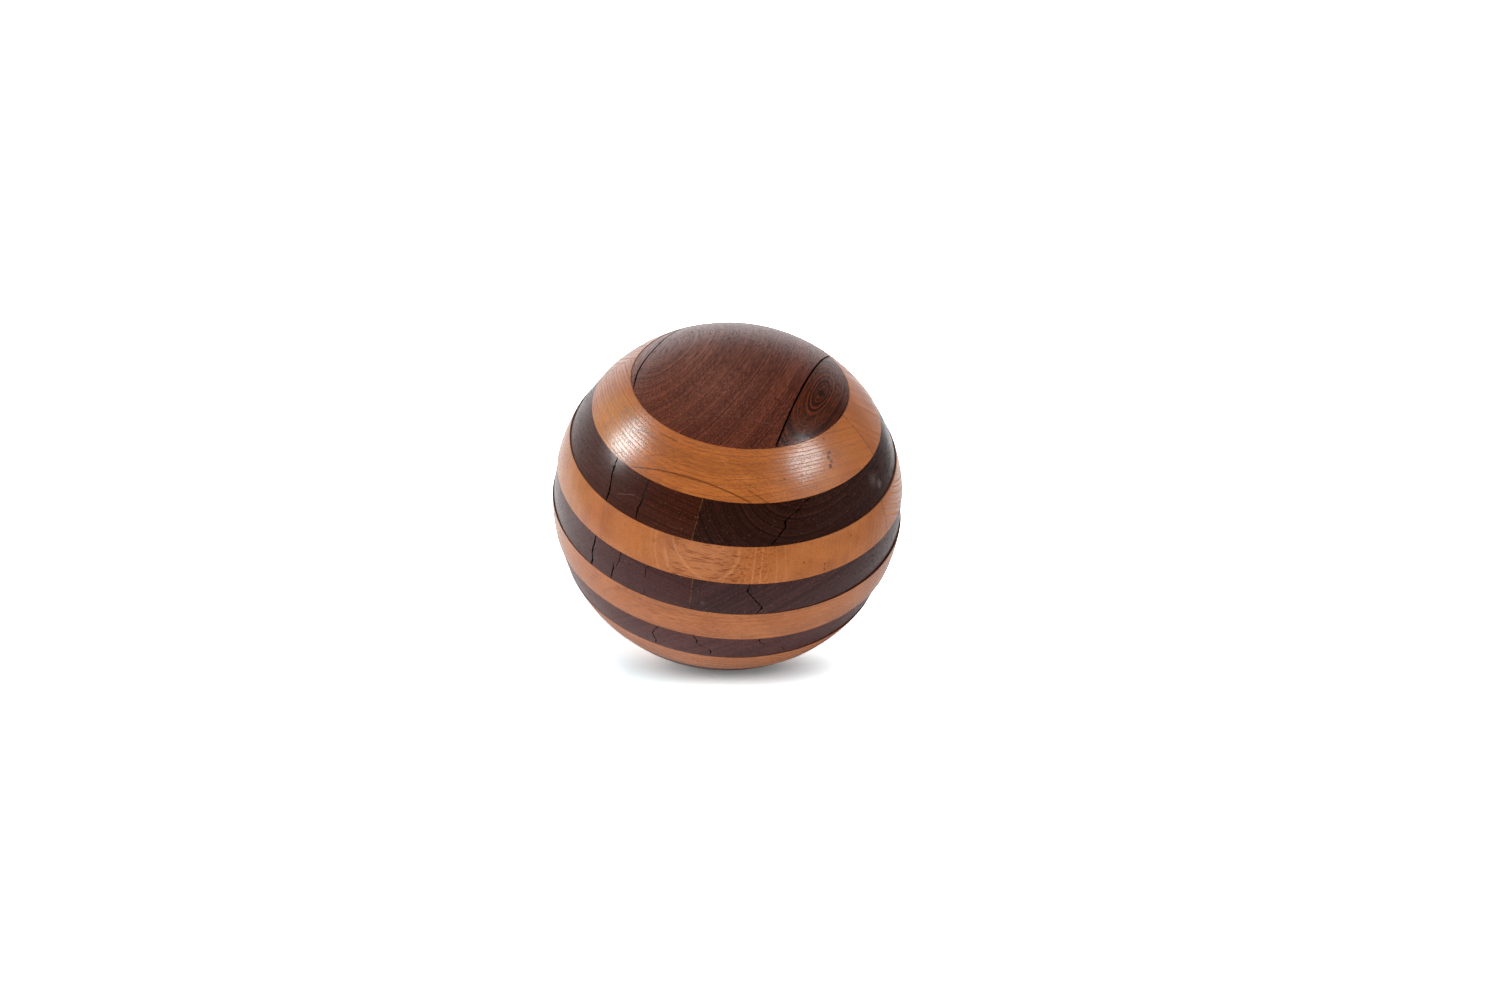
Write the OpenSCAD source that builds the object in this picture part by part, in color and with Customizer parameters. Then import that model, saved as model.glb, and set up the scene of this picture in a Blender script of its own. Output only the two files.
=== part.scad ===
// A ball turned from a glued-up block: ten layers of boards, dark and light in turn, with
// the grain of each layer square to the grain of the next. Every board is a solid of its own.
// The origin is the ball's centre. +Z is square to the layers, with the dark cap on top.
// Places across a board's grain are shares of the ball's radius, so they follow its size.

/* [Ball] */
// Diameter of the ball, along the grain of its widest layer
ball_d = 240; // [200:10:300]
// Share of its height that the ball has lost since it was turned, as the boards dried
height_loss = 0.008; // [0:0.002:0.02]
// Share of their width that the dark boards have lost since then
dark_width_loss = 0.01; // [0:0.002:0.02]
// Turn of the dark boards' grain from the Y axis towards +X, in degrees
grain_turn = 16; // [0:1:45]

/* [Glue joints of the dark layers, left to right] */
// Layer 1, the cap: joint of the left and middle boards, where it passes the cap's middle
joint_1_left = -0.514; // [-0.56:0.002:-0.2]
// Layer 1: joint of the middle and right boards
joint_1_right = 0.362; // [0.2:0.002:0.56]
// Layer 3: joint of the left and right boards
joint_3 = 0.096; // [-0.1:0.002:0.4]
// Layer 5: joint of the left and right boards
joint_5 = 0.141; // [-0.1:0.002:0.4]
// Layer 7: joint of the left and right boards
joint_7 = -0.321; // [-0.8:0.002:-0.1]
// Layer 9: joint of the left and right boards
joint_9 = 0.09; // [-0.6:0.002:0.6]

/* [Glue joints of the light layers, front to back] */
// Layer 2: joint of the front and back boards
joint_2 = -0.035; // [-0.6:0.005:0.6]
// Layer 4: joint of the front and back boards
joint_4 = -0.147; // [-0.8:0.002:0.8]
// Layer 6: joint of the front and back boards
joint_6 = 0.1; // [-0.8:0.005:0.8]
// Layer 8: joint of the front and back boards
joint_8 = 0.15; // [-0.7:0.005:0.7]

/* [Gaps and cracks] */
// Width of the two joints of the cap, which have opened
open_joint = 1.1; // [0.4:0.1:2]
// Depth of the drying cracks in the front ends of the dark boards, along the grain
crack_depth = 30; // [10:5:50]
// Width of the cracks as a multiple of the widths in their paths
crack_spread = 1; // [0.6:0.1:1.5]

/* [Hidden] */
$fn = 240;
radius = ball_d / 2;
half_height = radius * (1 - height_loss);
// A cut runs past a board's face by this much, so that it breaks through cleanly
over = 0.2;

// Glue joints of each layer, from the cap down. The foot, layer 10, is one board.
joints = [
    [joint_1_left, joint_1_right],
    [joint_2],
    [joint_3],
    [joint_4],
    [joint_5],
    [joint_6],
    [joint_7],
    [joint_8],
    [joint_9],
    []
];
layers = len(joints);
layer_t = 2 * half_height / layers;

// Drying cracks in the front ends of a layer's boards. Each is a path of points, and a point
// is its place across the grain, its height in the layer from 0 to 1, and its width in mm.
cracks_3 = [
    [[-0.433, 1, 0.8], [-0.438, 0.65, 1.0], [-0.428, 0.3, 1.1], [-0.431, 0, 0.8]],
    [[-0.215, 0.6, 0.3], [-0.236, 0.3, 0.7], [-0.229, 0, 0.6]],
    [[0.6, 1, 0.7], [0.563, 0.78, 0.9], [0.517, 0.56, 1.0], [0.525, 0.42, 0.9], [0.48, 0, 0.7]]
];
cracks_5 = [
    [[-0.458, 1, 0.8], [-0.460, 0.7, 1.1], [-0.467, 0.5, 1.0], [-0.463, 0.15, 1.1],
     [-0.469, 0, 0.7]],
    [[-0.28, 1, 0.6], [-0.285, 0.75, 0.8], [-0.302, 0.5, 0.4]],
    [[-0.317, 0.62, 0.3], [-0.319, 0.4, 0.9], [-0.327, 0, 0.6]],
    [[0.424, 1, 0.5], [0.419, 0.77, 0.8], [0.444, 0.61, 0.8], [0.4995, 0.23, 1.0],
     [0.474, 0, 0.6]],
    [[-0.105, 1, 0.4], [-0.125, 0.85, 0.5], [-0.119, 0.7, 0.4], [-0.124, 0.58, 0.3]],
    [[-0.118, 0.2, 0.3], [-0.113, 0.12, 0.4], [-0.121, 0.04, 0.3]]
];
cracks_7 = [
    [[-0.025, 1, 0.5], [-0.067, 0.58, 0.8], [-0.046, 0.25, 0.8], [-0.054, 0.1, 0.6]],
    [[0.165, 1, 0.5], [0.19, 0.77, 0.8], [0.184, 0.66, 0.6], [0.212, 0.53, 0.7],
     [0.249, 0.43, 0.5], [0.261, 0.29, 0.7], [0.252, 0.12, 0.5]],
    [[0.507, 1, 0.5], [0.503, 0.85, 0.7], [0.527, 0.63, 0.4]],
    [[0.603, 0.42, 0.5], [0.618, 0.15, 0.6]]
];
cracks = [[], [], cracks_3, [], cracks_5, [], cracks_7, [], [], []];

// The left joint of the cap is bowed. A point of its line is its place along the grain and how
// far the line lies there from the joint's place across the grain.
bow = [
    [-2, 0.020], [-0.36, 0.020], [-0.304, 0.011], [-0.265, 0.002], [-0.204, -0.012],
    [-0.142, -0.015], [-0.065, -0.010], [0.027, 0], [0.127, 0.009], [0.227, 0.025],
    [0.4, 0.045], [2, 0.045]
];
straight = [[-2, 0], [2, 0]];
function joint_line(layer, joint) = layer == 0 && joint == 0 ? bow : straight;

dark_brown = [0.23, 0.13, 0.10];
orange_brown = [0.67, 0.39, 0.22];

function is_dark(layer) = layer % 2 == 0;
function board_count(layer) = len(joints[layer]) + 1;
function layer_bottom(layer) = half_height - (layer + 1) * layer_t;

// Words for where a board lies: dark boards are side by side in X, light ones in Y
function board_places(layer) =
    let (ends = is_dark(layer) ? ["_left", "_right"] : ["_front", "_back"])
    board_count(layer) == 1 ? [""] :
    board_count(layer) == 2 ? ends : [ends[0], "_middle", ends[1]];
function board_name(layer, board) =
    str("layer_", layer + 1, is_dark(layer) ? "_dark" : "_light", board_places(layer)[board]);

// Half the width of the gap at a layer's glue joints: only those of the cap are open
function half_gap(layer) = layer == 0 ? open_joint / 2 : 0;

// The turned surface as it is now, in a frame with its x across the dark boards' grain
module dried_ball(dark) {
    scale([dark ? 1 - dark_width_loss : 1, 1, 1 - height_loss])
        sphere(d = ball_d);
}

// Everything above a height
module above(height) {
    translate([-ball_d, -ball_d, height])
        cube(2 * ball_d);
}

// Everything past a joint, across the grain, with the joint's line moved by half its gap
module past(layer, joint, half_gap) {
    line = [for (p = joint_line(layer, joint))
        [(joints[layer][joint] + p[1]) * radius + half_gap, p[0] * radius]];
    translate([0, 0, -ball_d])
        linear_extrude(height = 2 * ball_d)
            polygon(concat(line, [[ball_d, ball_d], [ball_d, -ball_d]]));
}

// One board as it was turned with the rest of the block. Neighbours share a face exactly,
// because both are cut at the same height or along the same line.
module turned_board(layer, board) {
    rotate(is_dark(layer) ? 0 : 90)
        difference() {
            intersection() {
                dried_ball(is_dark(layer));
                if (layer < layers - 1)
                    above(layer_bottom(layer));
                if (board > 0)
                    past(layer, board - 1, half_gap(layer));
            }
            if (layer > 0)
                above(layer_bottom(layer - 1));
            if (board < len(joints[layer]))
                past(layer, board, -half_gap(layer));
        }
}

// One drying crack: the slit that its path draws on the end grain, run in along the grain
module crack(layer, path) {
    at = [for (p = path) [
        p[0] * radius,
        layer_bottom(layer) + p[1] * layer_t + (p[1] == 1 ? over : p[1] == 0 ? -over : 0),
        p[2] * crack_spread / 2
    ]];
    outline = concat(
        [for (p = at) [p[0] - p[2], p[1]]],
        [for (i = [len(at) - 1 : -1 : 0]) [at[i][0] + at[i][2], at[i][1]]]
    );
    middle = at[floor(len(at) / 2)];
    surface = sqrt(radius * radius - middle[0] * middle[0] - middle[1] * middle[1]);
    translate([0, crack_depth - surface, 0])
        rotate([90, 0, 0])
            linear_extrude(height = ball_d) polygon(outline);
}

module board(layer, board) {
    color(is_dark(layer) ? dark_brown : orange_brown)
        rotate(-grain_turn)
            difference() {
                turned_board(layer, board);
                for (path = cracks[layer])
                    crack(layer, path);
            }
}

for (layer = [0 : layers - 1], place = [0 : board_count(layer) - 1])
    board(layer, place);
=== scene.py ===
import math
import random

import bmesh
import bpy
from mathutils import Matrix, Vector


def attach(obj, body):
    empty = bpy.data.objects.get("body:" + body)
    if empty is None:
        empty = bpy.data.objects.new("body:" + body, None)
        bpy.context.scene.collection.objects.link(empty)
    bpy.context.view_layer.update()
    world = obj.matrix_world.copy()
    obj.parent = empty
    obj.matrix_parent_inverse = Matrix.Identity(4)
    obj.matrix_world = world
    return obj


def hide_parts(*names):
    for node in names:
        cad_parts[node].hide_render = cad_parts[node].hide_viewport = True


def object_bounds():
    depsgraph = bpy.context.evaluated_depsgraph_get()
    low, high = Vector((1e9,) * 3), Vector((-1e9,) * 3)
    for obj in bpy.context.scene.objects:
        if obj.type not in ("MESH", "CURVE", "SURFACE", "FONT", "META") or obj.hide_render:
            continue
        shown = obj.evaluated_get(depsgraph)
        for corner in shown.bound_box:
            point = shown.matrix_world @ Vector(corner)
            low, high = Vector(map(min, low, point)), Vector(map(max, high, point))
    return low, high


# A ball turned from a glued-up block: ten layers of boards, dark and light in turn, with the
# grain of each layer square to the grain of the next. Every board is a piece of its own.
# Lengths are in metres. The ball's centre is the origin, and +Z is square to the layers.
# In the grain frame, X runs across the dark boards' grain and Y along it, away from the front.
# Places on the ball are shares of its radius, or compass points: degrees round from the front
# (-Y) towards +X, and degrees up from the equator.

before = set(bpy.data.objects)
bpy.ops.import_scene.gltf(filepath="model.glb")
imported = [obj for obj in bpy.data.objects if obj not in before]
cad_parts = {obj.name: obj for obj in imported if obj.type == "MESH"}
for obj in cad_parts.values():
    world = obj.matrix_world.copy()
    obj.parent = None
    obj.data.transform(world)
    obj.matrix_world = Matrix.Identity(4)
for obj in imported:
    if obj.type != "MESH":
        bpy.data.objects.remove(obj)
cad_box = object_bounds()

MM = 0.001
LAYERS = 10
HEIGHT_LOSS = 0.008
DARK_WIDTH_LOSS = 0.01
GRAIN_TURN = math.radians(16)
# The boards keep this far inside the dried ball's own surface
HAIR = 0.03 * MM

half_height = cad_box[1].z
radius = half_height / (1 - HEIGHT_LOSS) - HAIR
layer_t = 2 * half_height / LAYERS

# Geometry of the boards
TURNS = 360
ARC_STEP = math.radians(1)
RIM_ROUND = 0.12 * MM
RIM_SEGMENTS = 2
OPEN_JOINT = 1.1 * MM
CRACK_DEPTH = 30 * MM
# A crack's cutter runs past the layer's faces by this much
OVER = 0.2 * MM
# A cutter reaches this far out, as a share of the radius
BEYOND = 1.1
# Edges that turn by more than this are softened
SHARP = math.radians(30)
# A face is part of the turned surface if it lies this close to it and faces as it does
TURNED_WITHIN = 4e-4
TURNED_FACING = 0.9

# Drying cracks in the front ends of the dark boards. Each point of a path is its place across
# the grain, its height in the layer from 0 to 1, and its width in mm.
CRACKS = {
    3: [
        [(-0.433, 1, 0.8), (-0.438, 0.65, 1.0), (-0.428, 0.3, 1.1), (-0.431, 0, 0.8)],
        [(-0.215, 0.6, 0.3), (-0.236, 0.3, 0.7), (-0.229, 0, 0.6)],
        [(0.6, 1, 0.7), (0.563, 0.78, 0.9), (0.517, 0.56, 1.0), (0.525, 0.42, 0.9),
         (0.48, 0, 0.7)],
    ],
    5: [
        [(-0.458, 1, 0.8), (-0.460, 0.7, 1.1), (-0.467, 0.5, 1.0), (-0.463, 0.15, 1.1),
         (-0.469, 0, 0.7)],
        [(-0.28, 1, 0.6), (-0.285, 0.75, 0.8), (-0.302, 0.5, 0.4)],
        [(-0.317, 0.62, 0.3), (-0.319, 0.4, 0.9), (-0.327, 0, 0.6)],
        [(0.424, 1, 0.5), (0.419, 0.77, 0.8), (0.444, 0.61, 0.8), (0.4995, 0.23, 1.0),
         (0.474, 0, 0.6)],
        [(-0.105, 1, 0.4), (-0.125, 0.85, 0.5), (-0.119, 0.7, 0.4), (-0.124, 0.58, 0.3)],
        [(-0.118, 0.2, 0.3), (-0.113, 0.12, 0.4), (-0.121, 0.04, 0.3)],
    ],
    7: [
        [(-0.025, 1, 0.5), (-0.067, 0.58, 0.8), (-0.046, 0.25, 0.8), (-0.054, 0.1, 0.6)],
        [(0.165, 1, 0.5), (0.19, 0.77, 0.8), (0.184, 0.66, 0.6), (0.212, 0.53, 0.7),
         (0.249, 0.43, 0.5), (0.261, 0.29, 0.7), (0.252, 0.12, 0.5)],
        [(0.507, 1, 0.5), (0.503, 0.85, 0.7), (0.527, 0.63, 0.4)],
        [(0.603, 0.42, 0.5), (0.618, 0.15, 0.6)],
    ],
}
# The line of the cap's left joint, which is bowed: places along the grain, and how far across
# it the line lies from the joint's own place
BOW = [(-2, 0.020), (-0.36, 0.020), (-0.304, 0.011), (-0.265, 0.002), (-0.204, -0.012),
       (-0.142, -0.015), (-0.065, -0.010), (0.027, 0), (0.127, 0.009), (0.227, 0.025),
       (0.4, 0.045), (2, 0.045)]
# Small pits at the front edge of the cap's right board: place across and along the grain, and
# size in mm
PITS = [(0.405, -0.413, 1.0), (0.4045, -0.423, 0.8), (0.4245, -0.403, 0.9),
        (0.434, -0.386, 0.8), (0.440, -0.389, 0.7), (0.473, -0.362, 1.1), (0.433, -0.376, 0.6)]
# Half a pit's width, length and depth, as shares of its size
PIT_SHAPE = (0.4, 0.6, 0.5)
# Between the points of its path a crack turns aside every step, by up to the wander, and its
# width changes there by up to the share of fray
CRACK_STEP = 1.1 * MM
CRACK_WANDER = 0.34 * MM
CRACK_FRAY = 0.38

# Colours
GLUE = (0.20, 0.105, 0.035)
SEAM = (0.075, 0.026, 0.010)
# Painted shade, near-black on the dark wood and dark brown on the light, laid in cracks, pits and
# on cut faces below the turned surface
DARK_RECESS_SHADE = (0.006, 0.004, 0.004)
LIGHT_RECESS_SHADE = (0.055, 0.020, 0.009)
SPECK = (0.22, 0.15, 0.13)
STAIN = (0.110, 0.025, 0.002)
PIT = (0.120, 0.024, 0.001)
RAY = (0.60, 0.26, 0.105)
HEARTWOOD = (0.014, 0.005, 0.003)
SCRATCH = (0.17, 0.10, 0.08)
SCUFF = (0.22, 0.18, 0.17)
# Tones, which multiply the wood's own colour
# Golden: lighter and paler wood, partly its own tone and partly painted sheen
GOLDEN_TONE_AND_SHEEN = (1.12, 1.38, 1.25)
# Russet: lighter and paler wood, partly its own tone and partly painted sheen
RUSSET_TONE_AND_SHEEN = (1.35, 1.60, 1.75)

# Gloss of the woods: roughness and weight of polish, clean first and then dull, how dull open
# grain is, and the strength and tint of what the wood itself mirrors under the polish
DARK_GLOSS = dict(rough=(0.42, 0.85), coat=(0.75, 0.0), open_grain=0.7, specular=0.1,
                  tint=(1.0, 1.0, 1.0, 1.0))
LIGHT_GLOSS = dict(rough=(0.25, 0.42), coat=(0.7, 0.0), open_grain=0.95, specular=0.4,
                   tint=(0.15, 0.8, 1.0, 1.0))
POLISH_ROUGH = 0.22
POLISH_IOR = 1.5
GRAIN_BUMP = 0.4
GRAIN_DEPTH = 0.1 * MM
MARK_DULL = 0.8
# Depths below the turned surface, as shares of the radius, over which the painted shade
# of recesses sets in
RECESS_SHADE_DEPTH = (0.0006, 0.0045)

# Grain of the woods: width and length in mm of streaks, threads, speckles and open vessels
DARK_STREAK = (0.75, 30)
DARK_THREAD = (0.5, 8)
DARK_VESSEL = (1.0, 9)
SPECK_SPACING = 3.6
LIGHT_STREAK = (0.5, 10)
LIGHT_SPECKLE = (0.6, 2.5)
LIGHT_VESSEL_WIDTH = 0.8
# Glue lines of closed joints: colour, width in mm, strength and how broken the line is
DARK_GLUE_LINE = (GLUE, 0.45, 0.45, 1.0)
LIGHT_GLUE_LINE = (SEAM, 0.35, 0.85, 0.15)

# The boards. Every one has
#   ends      its glue joints across the grain
#   heart     the middle of its log, in the plane square to the grain
#   ring      the width of a growth ring in mm
#   base      the colour of its wood, and line, that of its pale bands or its ring lines
#   seed      the draw of its own figure
# and may have
#   bowed     the end that is the bowed joint
#   turn      how far its log is turned off the layer's grain, in degrees
#   start     mm from the heart out to the first ring
#   bunching  the power of the distance that the rings are counted by
#   wavy      how far the rings wander in mm, and uneven, how much their widths differ
# A dark one may have
#   fades     the ring counts between which whole rings turn into streaks
#   contrast  the strength of its pale bands
#   relief    how much deeper than usual its open grain is
# A light one has fine, the fineness of its brown lines, and dash, the length of its vessels
# in mm, and may have
#   thin      the share of a ring that is clear of its line, and lines, the lines' strength
#   grain     the strength of the brown lines, and fibre, that of the fibres among them
#   dashes    the strength of its vessels, and dense, their width as a share of a cell
#   clusters  how far along the grain, in mm, they are thick, and where they have thinned out
DARK_BOARDS = {
    "layer_1_dark_left": dict(
        ends=(None, -0.514), bowed="last", heart=(-0.924, 1.77), ring=0.005, start=119,
        bunching=0.5, wavy=0.3, fades=(25, 60), contrast=0.9,
        base=(0.090, 0.025, 0.016), line=(0.28, 0.076, 0.036), seed=1),
    "layer_1_dark_middle": dict(
        ends=(-0.514, 0.362), bowed="first", heart=(-0.924, 1.77), ring=0.005, start=119,
        bunching=0.5, wavy=0.3, fades=(25, 60), contrast=0.85,
        base=(0.086, 0.022, 0.013), line=(0.215, 0.058, 0.029), seed=2),
    "layer_1_dark_right": dict(
        ends=(0.362, None), heart=(0.496, 0.958), ring=0.03, start=9.4, bunching=0.5, wavy=0.5,
        fades=(80, 99), contrast=1.0, relief=2.5,
        base=(0.018, 0.0035, 0.001), line=(0.165, 0.032, 0.009), seed=3),
    "layer_3_dark_left": dict(
        ends=(None, 0.096), heart=(-0.3, -2.6), ring=1.0, contrast=0.9,
        base=(0.034, 0.0062, 0.0018), line=(0.090, 0.021, 0.010), seed=4),
    "layer_3_dark_right": dict(
        ends=(0.096, None), heart=(0.62, 0.85), ring=1.2, contrast=0.9,
        base=(0.018, 0.0046, 0.0028), line=(0.054, 0.017, 0.010), seed=5),
    "layer_5_dark_left": dict(
        ends=(None, 0.141), heart=(-0.5, -3.0), ring=1.0,
        base=(0.052, 0.0158, 0.0142), line=(0.088, 0.028, 0.024), seed=6),
    "layer_5_dark_right": dict(
        ends=(0.141, None), heart=(1.45, -1.25), ring=1.2,
        base=(0.038, 0.0140, 0.0145), line=(0.085, 0.030, 0.025), seed=7),
    "layer_7_dark_left": dict(
        ends=(None, -0.321), heart=(-0.4, -3.2), ring=1.1,
        base=(0.072, 0.020, 0.020), line=(0.110, 0.036, 0.032), seed=8),
    "layer_7_dark_right": dict(
        ends=(-0.321, None), heart=(1.5, -1.9), ring=1.3,
        base=(0.062, 0.015, 0.014), line=(0.115, 0.034, 0.027), seed=9),
    "layer_9_dark_left": dict(
        ends=(None, 0.09), heart=(-0.6, 1.4), ring=1.1,
        base=(0.050, 0.014, 0.011), line=(0.080, 0.023, 0.016), seed=10),
    "layer_9_dark_right": dict(
        ends=(0.09, None), heart=(0.9, -2.4), ring=1.1,
        base=(0.043, 0.013, 0.010), line=(0.073, 0.021, 0.014), seed=11),
}
LIGHT_BOARDS = {
    "layer_2_light_front": dict(
        ends=(None, -0.035), heart=(-0.5, -0.7), ring=1.7, wavy=1.5, uneven=0.6, thin=0.78,
        lines=0.55, fine=1.9, grain=1.0, dash=12,
        base=(0.460, 0.136, 0.031), line=(0.25, 0.064, 0.015), seed=21),
    "layer_2_light_back": dict(
        ends=(-0.035, None), heart=(1.6, 2.2), ring=3.2, fine=3, dash=16,
        base=(0.440, 0.135, 0.040), line=(0.31, 0.085, 0.022), seed=22),
    "layer_4_light_front": dict(
        ends=(None, -0.147), heart=(0.70, -0.30), turn=9, ring=1.9, wavy=0.5, uneven=1.4,
        thin=0.94, lines=0.15, fine=3, grain=0.3, fibre=1, dash=14, dashes=1.0, dense=0.62,
        clusters=(18, 42),
        base=(0.405, 0.126, 0.034), line=(0.54, 0.22, 0.085), seed=23),
    "layer_4_light_back": dict(
        ends=(-0.147, None), heart=(0.9, 1.9), ring=3.3, fine=3, dash=8,
        base=(0.400, 0.126, 0.040), line=(0.50, 0.20, 0.075), seed=24),
    "layer_6_light_front": dict(
        ends=(None, 0.1), heart=(-0.7, -1.9), ring=3.6, fine=3, dash=12,
        base=(0.400, 0.125, 0.037), line=(0.31, 0.090, 0.026), seed=25),
    "layer_6_light_back": dict(
        ends=(0.1, None), heart=(1.5, -0.9), ring=3.0, fine=3, dash=8,
        base=(0.400, 0.128, 0.042), line=(0.50, 0.20, 0.07), seed=26),
    "layer_8_light_front": dict(
        ends=(None, 0.15), heart=(-1.2, -2.2), ring=3.3, fine=3, dash=12,
        base=(0.460, 0.150, 0.050), line=(0.33, 0.10, 0.032), seed=27),
    "layer_8_light_back": dict(
        ends=(0.15, None), heart=(1.6, -1.6), ring=3.5, fine=3, dash=8,
        base=(0.400, 0.128, 0.042), line=(0.50, 0.20, 0.07), seed=28),
    "layer_10_light": dict(
        ends=(None, None), heart=(0.5, -3.0), ring=3.2, fine=3, dash=12,
        base=(0.400, 0.130, 0.044), line=(0.30, 0.09, 0.028), seed=29),
}

# Marks on the boards. A line has two or three places along it, its width in mm, colour,
# strength, waviness and how broken it is. A spot has its middle, its radius in mm, colour,
# strength, raggedness and the fineness of its edge. A tone is a spot that multiplies the
# wood's own colour.
MARKS = {
    "layer_1_dark_middle": [
        # Lighter, paler patches on the cap: partly the wood's own tone, partly painted sheen
        ("tone", ((-62, 68),), 58, RUSSET_TONE_AND_SHEEN, 0.6, 0.6, 5),
        ("tone", ((-30, 85),), 50, RUSSET_TONE_AND_SHEEN, 0.5, 0.6, 5),
        ("line", ((-36, 55.2), (-7.6, 63.1), (26, 59.3)), 0.35, SCRATCH, 0.30, 0.02, 0.5),
        # A hairline crack in the end grain, drawn in painted shade
        ("line", ((8.9, 53.8), (12.8, 56.6)), 0.5, DARK_RECESS_SHADE, 0.8, 0.0, 0.0),
    ],
    "layer_1_dark_right": [
        ("spot", ((71.8, 62.3),), 4.0, HEARTWOOD, 0.85, 1.6, 40),
    ],
    "layer_2_light_front": [
        # Lighter, paler wood at the left: partly its own tone, partly painted sheen
        ("tone", ((-64, 39),), 38, GOLDEN_TONE_AND_SHEEN, 0.7, 0.4, 5),
        ("line", ((-41, 37.2), (-14, 41.8), (9.4, 36.8)), 0.6, STAIN, 0.85, 0.004, 0.1),
        ("line", ((7.4, 40.9), (11.4, 39), (15.8, 36.6)), 0.5, STAIN, 0.75, 0.004, 0.1),
        ("line", ((2, 44), (17, 39)), 0.35, STAIN, 0.45, 0.01, 0.4),
        ("line", ((10.8, 52.8), (15, 51.2), (20.5, 49)), 0.3, STAIN, 0.4, 0.01, 0.4),
        ("line", ((1, 48.5), (10, 46.4), (18, 43)), 0.3, STAIN, 0.3, 0.01, 0.5),
        ("line", ((-37, 42.5), (-32, 44.8), (-24, 46.4)), 0.3, STAIN, 0.3, 0.01, 0.5),
        ("line", ((-38, 50.3), (-28, 50.8)), 0.8, STAIN, 0.5, 0.01, 0.4),
        ("line", ((-50, 47.3), (-41, 48.9)), 0.5, STAIN, 0.7, 0.01, 0.2),
        ("line", ((-51.4, 36.7), (-48.2, 39.2)), 0.5, STAIN, 0.8, 0.004, 0.0),
        ("spot", ((47.9, 47.2),), 1.6, PIT, 0.85, 1.5, 60),
        ("spot", ((46.4, 46.0),), 1.6, PIT, 0.85, 1.5, 60),
        ("spot", ((45.6, 43.4),), 2.0, PIT, 0.85, 1.5, 60),
        ("spot", ((47.0, 44.4),), 1.4, PIT, 0.75, 1.5, 60),
        ("spot", ((49, 51.8),), 1.2, PIT, 0.7, 1.2, 60),
        ("spot", ((22.8, 43.6),), 0.9, PIT, 0.7, 1.0, 50),
    ],
    "layer_4_light_front": [
        ("spot", ((46, 20.2),), 0.9, PIT, 0.85, 1.0, 50),
        ("spot", ((27, 17),), 0.9, PIT, 0.75, 1.0, 50),
        ("spot", ((34.4, 14.8),), 0.9, PIT, 0.7, 1.0, 50),
        ("spot", ((34.4, 12.9),), 1.0, PIT, 0.7, 1.0, 50),
        ("spot", ((-22, 20.2),), 1.2, PIT, 0.6, 1.0, 50),
        # Lighter, paler wood at the left: partly its own tone, partly painted sheen
        ("tone", ((-66, 20),), 36, GOLDEN_TONE_AND_SHEEN, 0.4, 0.4, 4),
        ("line", ((-16.6, 23), (-11.6, 16.4), (-5, 12.2)), 0.35, RAY, 0.35, 0.004, 0.4),
        ("line", ((5.7, 22.7), (4.4, 17), (0.4, 12.6)), 0.3, RAY, 0.4, 0.004, 0.4),
        ("line", ((11.1, 24.5), (10.1, 11)), 0.7, RAY, 0.45, 0.004, 0.4),
        ("line", ((13.4, 24.5), (12.6, 11)), 0.7, RAY, 0.4, 0.004, 0.4),
        ("line", ((17.9, 24.5), (17.8, 11)), 0.5, RAY, 0.3, 0.004, 0.5),
        ("line", ((20.6, 24.5), (21.1, 11)), 0.5, RAY, 0.3, 0.004, 0.5),
        ("line", ((-22.4, 23.5), (-21.2, 17), (-19.1, 12)), 0.4, RAY, 0.35, 0.004, 0.4),
        ("line", ((-24.4, 24.5), (-23, 16)), 0.5, RAY, 0.3, 0.004, 0.4),
        ("line", ((-18.4, 19), (-17.4, 16), (-14.2, 12.5)), 0.3, RAY, 0.3, 0.004, 0.4),
    ],
    "layer_6_light_front": [
        ("line", ((-38.7, -8.5), (-34.1, -3.5), (-28.3, -0.3)), 0.5, STAIN, 0.32, 0.006, 0.3),
        ("line", ((-44.2, -7.3), (-42.9, -4.5), (-39.3, -1.5)), 0.4, STAIN, 0.22, 0.006, 0.3),
        ("line", ((-32.7, -9.6), (-26.2, -6.6), (-21.8, -3.9)), 0.4, STAIN, 0.26, 0.006, 0.4),
        ("line", ((-5.7, -7.2), (0.3, -6.0)), 0.4, STAIN, 0.32, 0.004, 0.2),
        ("line", ((5.9, -0.5), (11.2, -3.6)), 0.35, STAIN, 0.2, 0.004, 0.2),
    ],
    "layer_3_dark_left": [
        ("line", ((-41.6, 27.6), (-38, 29.2), (-34.4, 30.4)), 0.2, SCRATCH, 0.55, 0.003, 0.3),
        # The crack's hairline run on up the end grain, drawn in painted shade
        ("line", ((-31.6, 37.2), (-30.8, 28)), 0.7, DARK_RECESS_SHADE, 1.0, 0.008, 0.1),
    ],
    "layer_3_dark_right": [
        ("spot", ((67.6, 28),), 3.0, SCUFF, 0.38, 4.0, 160),
        ("spot", ((65, 31),), 5.0, SCUFF, 0.2, 4.5, 150),
    ],
    "layer_5_dark_right": [
        ("spot", ((-4, 3.5),), 1.6, SCUFF, 0.16, 4.0, 160),
    ],
}


def layer_of(name):
    """The number of a board's layer, 1 for the cap and 10 for the foot."""
    return int(name.split("_")[1])


def compass(round_from_front, up):
    """A place on the ball, in the grain frame, from its degrees round and up."""
    turn = math.radians(round_from_front) + GRAIN_TURN
    lift = math.radians(up)
    return Vector((math.sin(turn) * math.cos(lift), -math.cos(turn) * math.cos(lift),
                   math.sin(lift)))


def mesh_of(name, bm):
    """The mesh that a bmesh has come to."""
    mesh = bpy.data.meshes.new(name)
    bm.to_mesh(mesh)
    bm.free()
    return mesh


def add_object(name, data):
    """Puts an object in the scene."""
    added = bpy.data.objects.new(name, data)
    bpy.context.scene.collection.objects.link(added)
    return added


# ---- Boards ----

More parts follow.
